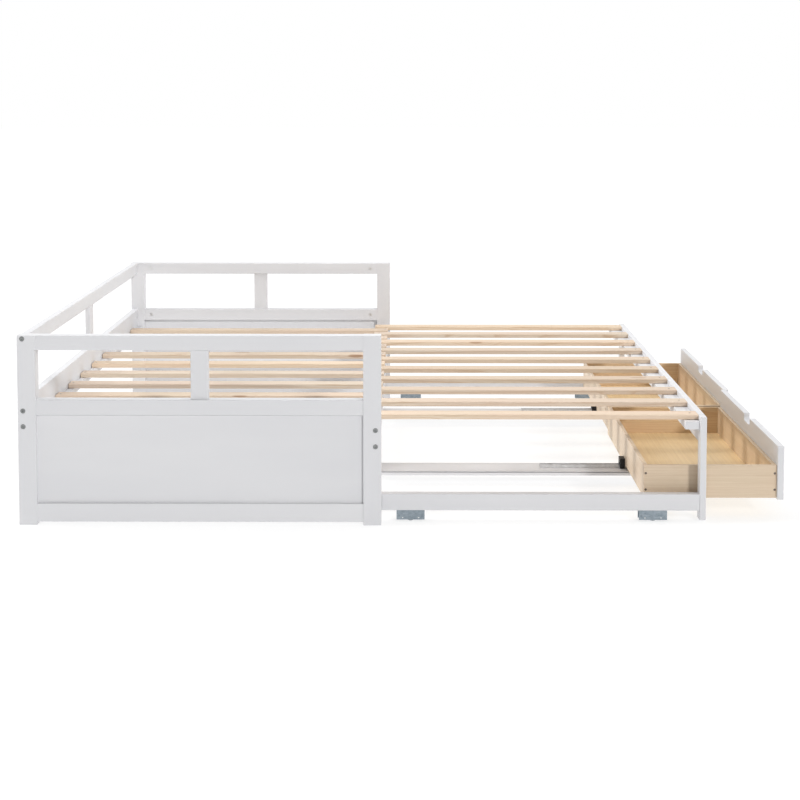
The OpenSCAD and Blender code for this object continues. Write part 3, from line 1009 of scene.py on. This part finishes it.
@dataclass(frozen=True)
class Studio:
    """A white cove with an even sky, soft boxes and the camera."""

    eye: Triple = (0.0151, -5.7775, 1.3001)
    pitch_down: float = 0.0695
    turn_left: float = 0.0069
    lens: float = 73.49
    sensor: float = 36.0
    shift_up: float = -0.25
    sight: float = 200.0
    contrast: float = 0.78
    floor_reach: float = 45.0
    floor_grey: float = 0.30
    floor_glow: float = 0.74
    floor_roughness: float = 0.9
    sky_turns: Pair = (-0.8, 0.3)
    sky_front: float = 0.25
    sky_back: float = 1.0
    lamps: tuple[Lamp, ...] = (
        FarBox("key_box", (0.43, -0.81, 0.40), 1.17, 0.13),
        FarBox("left_low_box", (-0.93, 0.0, 0.38), 0.75, 0.08),
        StripBox("left_strip_box", (-5.0, 0.0, 5.0), (0.8, 6.0), 80.0),
        StripBox("top_box", (0.0, -0.1, 2.6), (2.0, 1.2), 12.0),
    )

    def floor(self) -> None:
        """Lays the pale floor."""
        r = self.floor_reach
        mesh = bpy.data.meshes.new("studio_floor")
        mesh.from_pydata([(-r, -r, 0.0), (r, -r, 0.0), (r, r, 0.0), (-r, r, 0.0)], [],
                         [(0, 1, 2, 3)])
        w = Wiring("pale_floor")
        w.feed(Base_Color=(self.floor_grey,) * 3, Roughness=self.floor_roughness,
               Specular_IOR_Level=0.0, Emission_Color=WHITE, Emission_Strength=self.floor_glow)
        mesh.materials.append(w.material)
        piece = bpy.data.objects.new("studio_floor", mesh)
        bpy.context.scene.collection.objects.link(piece)

    def light(self) -> None:
        """Lights the room, brighter behind the bed than before it, and hangs the lamps."""
        world = bpy.data.worlds.new("white_room")
        world.use_nodes = True
        tree = world.node_tree
        nodes = tree.nodes
        place = nodes.new("ShaderNodeTexCoord")
        axes = nodes.new("ShaderNodeSeparateXYZ")
        span = nodes.new("ShaderNodeMapRange")
        span.interpolation_type = "SMOOTHSTEP"
        for socket, value in (("From Min", self.sky_turns[0]), ("From Max", self.sky_turns[1]),
                              ("To Min", self.sky_front), ("To Max", self.sky_back)):
            span.inputs[socket].default_value = value
        tree.links.new(place.outputs["Generated"], axes.inputs[0])
        tree.links.new(axes.outputs["Y"], span.inputs["Value"])
        tree.links.new(span.outputs["Result"], nodes["Background"].inputs["Strength"])
        nodes["Background"].inputs["Color"].default_value = (*WHITE, 1.0)
        bpy.context.scene.world = world
        for lamp in self.lamps:
            lamp.hang()

    def camera(self) -> None:
        """Sets the camera up off the bed's left end, above its rails, looking along the bed."""
        data = bpy.data.cameras.new("camera")
        data.sensor_width = self.sensor
        data.lens = self.lens
        data.shift_y = self.shift_up
        data.clip_end = self.sight
        data.dof.use_dof = False
        camera = bpy.data.objects.new("camera", data)
        camera.location = self.eye
        ahead = Vector((-math.sin(self.turn_left) * math.cos(self.pitch_down),
                        math.cos(self.turn_left) * math.cos(self.pitch_down),
                        -math.sin(self.pitch_down)))
        camera.rotation_euler = ahead.to_track_quat("-Z", "Y").to_euler()
        bpy.context.scene.collection.objects.link(camera)
        bpy.context.scene.camera = camera

    def build(self) -> None:
        """Builds the studio."""
        self.camera()
        self.floor()
        self.light()
        bpy.context.scene.view_settings.view_transform = "Standard"
        bpy.context.scene.view_settings.gamma = self.contrast


def main() -> None:
    """Builds the daybed's looks and the studio round it."""
    logging.basicConfig(level=logging.INFO, format="%(name)s %(message)s", force=True)
    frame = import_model()
    Studio().build()
    bench = Workbench(frame)
    for part in (
        EndPanel(Side.LEFT),
        EndPanel(Side.RIGHT),
        BackAndStretcher(),
        Slats("fixed_slats", "fixed_slat_screws", "fixed_slat"),
        Slats("pull_out_slats", "pull_out_screws", "pull_out_slat", Slot.DARK_SCREW),
        PullOutFrame(),
        Casters(),
        Drawer(Side.LEFT),
        Drawer(Side.RIGHT),
        Fasteners(),
    ):
        before = len(bench.made)
        part.build(bench)
        LOG.info("%s: %d pieces", type(part).__name__, len(bench.made) - before)


if __name__ == "__main__":
    main()
